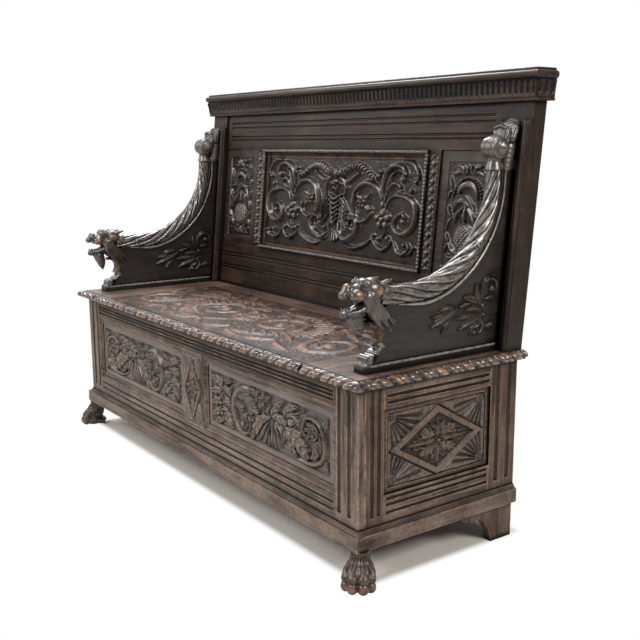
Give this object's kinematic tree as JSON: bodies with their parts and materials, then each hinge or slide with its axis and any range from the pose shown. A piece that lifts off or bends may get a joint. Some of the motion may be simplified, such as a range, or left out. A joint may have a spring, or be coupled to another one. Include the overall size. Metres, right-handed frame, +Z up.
{
  "type": "box settle",
  "caption": "Carved dark oak box settle: panelled chest with a lift-up seat lid, lion-head arms on spiral necks, raked carved back, fluted cornice, paw and bracket feet.",
  "frame": {"origin": "on the floor under the middle of the whole settle's bounding box", "axes": "+Z up, +X to the right of someone looking at the front, +Y from the front to the back"},
  "size_m": [1.5568, 0.5967, 1.11],
  "materials": {
    "frame_oak": "dark stain, waxed",
    "carved_oak": "dark stain, waxed carving",
    "worn_oak": "dark stain worn to warm brown, waxed",
    "plain_oak": "plain stained",
    "hinge_iron": "dark wrought"
  },
  "bodies": {
    "carcass": {"arm_base_left": "carved_oak", "arm_base_right": "carved_oak", "arm_board_left": "carved_oak", "arm_board_right": "carved_oak", "arm_neck_left": "carved_oak", "arm_neck_right": "carved_oak", "back_bottom_rail": "frame_oak", "back_centre_moulding": "carved_oak", "back_centre_panel": "carved_oak", "back_muntin_left": "carved_oak", "back_muntin_right": "carved_oak", "back_side_panel_left": "carved_oak", "back_side_panel_right": "carved_oak", "back_stile_left": "frame_oak", "back_stile_right": "frame_oak", "back_top_rail": "frame_oak", "bracket_foot_left": "frame_oak", "bracket_foot_right": "frame_oak", "chest_back_boards": "plain_oak", "cornice_frieze": "carved_oak", "cornice_top_board": "frame_oak", "end_bottom_rail_left": "frame_oak", "end_bottom_rail_right": "frame_oak", "end_front_stile_left": "frame_oak", "end_front_stile_right": "frame_oak", "end_panel_left": "carved_oak", "end_panel_right": "carved_oak", "end_rear_stile_left": "frame_oak", "end_rear_stile_right": "frame_oak", "end_top_rail_left": "frame_oak", "end_top_rail_right": "frame_oak", "floor_boards": "plain_oak", "front_bottom_rail": "frame_oak", "front_muntin": "carved_oak", "front_panel_left": "carved_oak", "front_panel_mouldings": "frame_oak", "front_panel_right": "carved_oak", "front_stile_left": "frame_oak", "front_stile_right": "frame_oak", "front_top_rail": "frame_oak", "hinge_fixed_leaves": "hinge_iron", "hinge_pins": "hinge_iron", "hinge_screws_fixed": "hinge_iron", "lion_head_left": "worn_oak", "lion_head_right": "worn_oak", "paw_foot_left": "worn_oak", "paw_foot_right": "worn_oak", "plinth_front": "frame_oak", "plinth_left": "frame_oak", "plinth_right": "frame_oak", "seat_end_board_left": "frame_oak", "seat_end_board_right": "frame_oak", "seat_moulding_left": "worn_oak", "seat_moulding_right": "worn_oak", "seat_rear_rail": "frame_oak"},
    "lid": {"lid_board": "worn_oak", "lid_moulding": "worn_oak", "lid_battens": "plain_oak", "hinge_moving_leaves": "hinge_iron", "hinge_screws_moving": "hinge_iron"}
  },
  "joints": [
    {"name": "seat_lid_hinge", "type": "hinge", "parent": "carcass", "child": "lid", "pos_m": [0, 0.11825, 0.464], "axis": [-1, 0, 0], "range_deg": [0, 100]}
  ]
}
